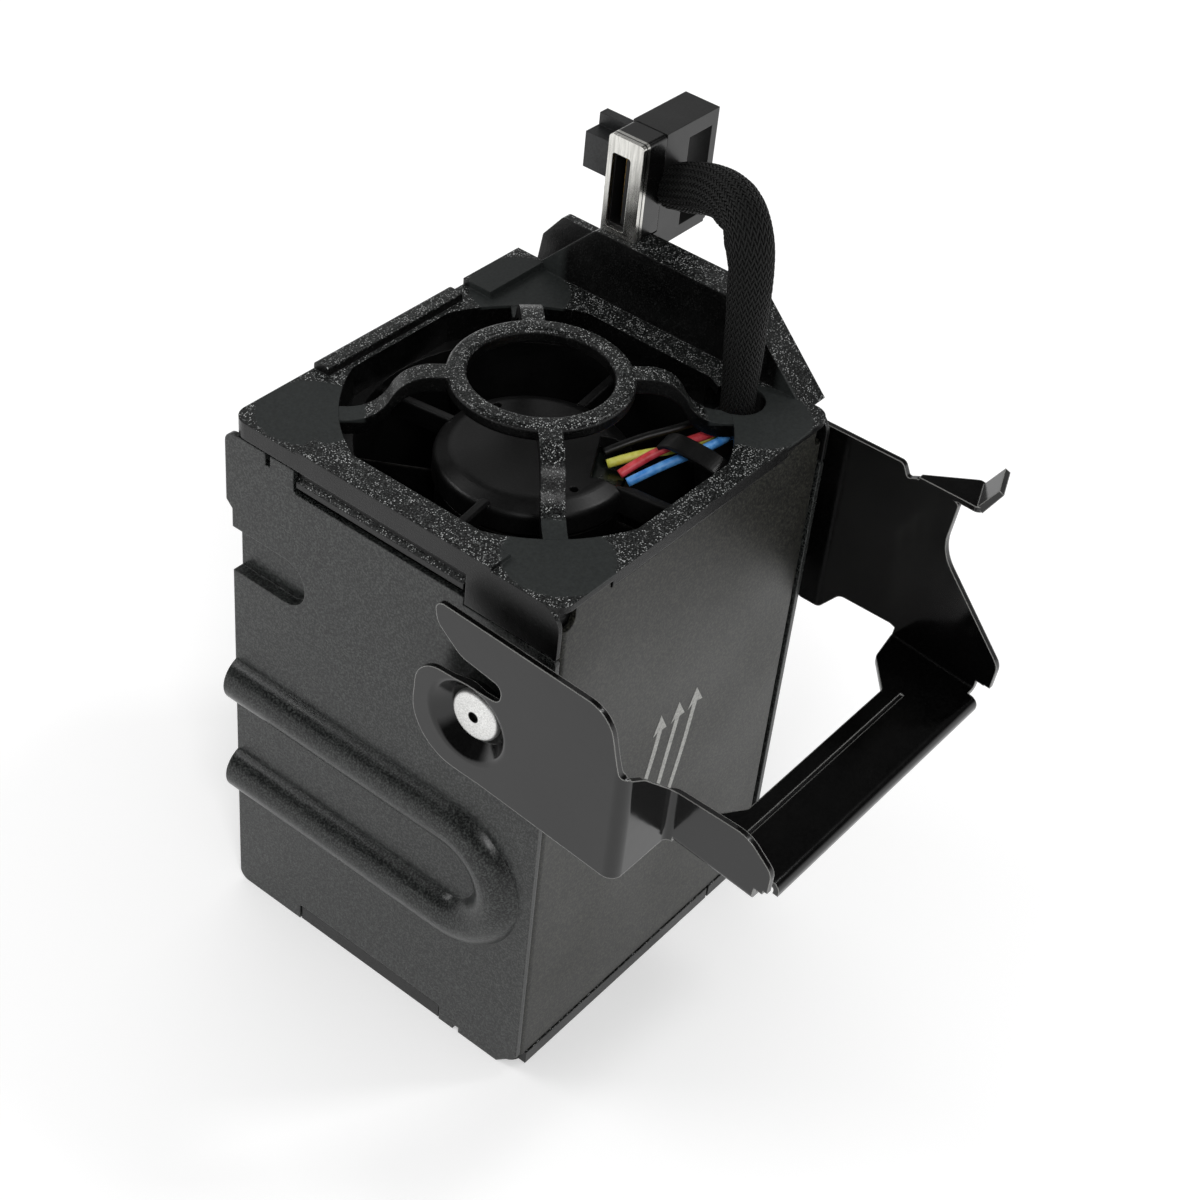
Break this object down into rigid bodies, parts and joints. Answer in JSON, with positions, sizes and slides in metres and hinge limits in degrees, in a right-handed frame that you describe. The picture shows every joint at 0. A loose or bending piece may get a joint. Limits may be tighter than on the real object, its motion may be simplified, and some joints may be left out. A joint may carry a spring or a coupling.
{
  "type": "server fan module",
  "caption": "Hot-swap server fan module: sheet-metal case with stacked axial fans, outlet grille, braided cable to a connector on a visor, and a swinging pull handle.",
  "frame": {"origin": "centre of the case's bottom face, on the inlet guard's hub disc, on the fan axis", "axes": "+Z along the fan axis with the air flow, towards the outlet grille; -Y towards the handle and the air arrows; +X towards the connector visor"},
  "size_m": [0.093, 0.104, 0.134],
  "materials": {
    "panel_paint": "powder coat, satin charcoal",
    "cover_paint": "powder coat, satin grey",
    "frame_plastic": "black, coarse spark texture",
    "duct_plastic": "black",
    "impeller_plastic": "black, satin",
    "yoke_steel": "plated",
    "magnet": "sintered ring",
    "shaft_steel": "ground",
    "bearing_steel": "polished",
    "brass": "turned",
    "lamination_steel": "stacked sheets",
    "copper": "enamelled copper wire",
    "circuit_board": "solder resist",
    "connector_plastic": "black",
    "bright_metal": "tin plated sheet",
    "contact_gold": "gold plated",
    "plug_plastic": "dark grey",
    "braid": "woven sleeve",
    "lead_yellow": "insulation",
    "lead_red": "insulation",
    "lead_blue": "insulation",
    "lead_black": "insulation",
    "handle_gloss": "gloss black",
    "rivet_steel": "bright"
  },
  "bodies": {
    "case": {"back_cover": "cover_paint", "bottom_guard": "frame_plastic", "cable_sleeve": "braid", "connector_contacts": "contact_gold", "connector_housing": "connector_plastic", "connector_plug": "plug_plastic", "connector_shield": "bright_metal", "flow_straightener": "duct_plastic", "front_cover": "cover_paint", "lead_black": "lead_black", "lead_blue": "lead_blue", "lead_red": "lead_red", "lead_yellow": "lead_yellow", "left_pivot_rivet": "rivet_steel", "left_side_panel": "panel_paint", "lower_ball_bearings": "bearing_steel", "lower_bearing_tube": "brass", "lower_fan_frame": "duct_plastic", "lower_motor_base": "duct_plastic", "lower_motor_board": "circuit_board", "lower_stator_core": "lamination_steel", "lower_stator_windings": "copper", "plug_pins": "contact_gold", "right_pivot_rivet": "rivet_steel", "right_side_panel": "panel_paint", "top_frame": "frame_plastic", "upper_ball_bearings": "bearing_steel", "upper_bearing_tube": "brass", "upper_fan_frame": "duct_plastic", "upper_motor_base": "duct_plastic", "upper_motor_board": "circuit_board", "upper_stator_core": "lamination_steel", "upper_stator_windings": "copper"},
    "handle": {"handle_bail": "handle_gloss"},
    "lower_rotor": {"lower_impeller": "impeller_plastic", "lower_rotor_yoke": "yoke_steel", "lower_rotor_magnet": "magnet", "lower_fan_shaft": "shaft_steel"},
    "upper_rotor": {"upper_impeller": "impeller_plastic", "upper_rotor_yoke": "yoke_steel", "upper_rotor_magnet": "magnet", "upper_fan_shaft": "shaft_steel"}
  },
  "joints": [
    {"name": "handle_pivot", "type": "hinge", "parent": "case", "child": "handle", "pos_m": [0, -0.0208, 0.0774], "axis": [1, 0, 0], "range_deg": [0, 42]},
    {"name": "lower_fan_spin", "type": "hinge", "parent": "case", "child": "lower_rotor", "pos_m": [0, 0, 0.02], "axis": [0, 0, 1], "continuous": true},
    {"name": "upper_fan_spin", "type": "hinge", "parent": "case", "child": "upper_rotor", "pos_m": [0, 0, 0.08], "axis": [0, 0, 1], "continuous": true}
  ]
}
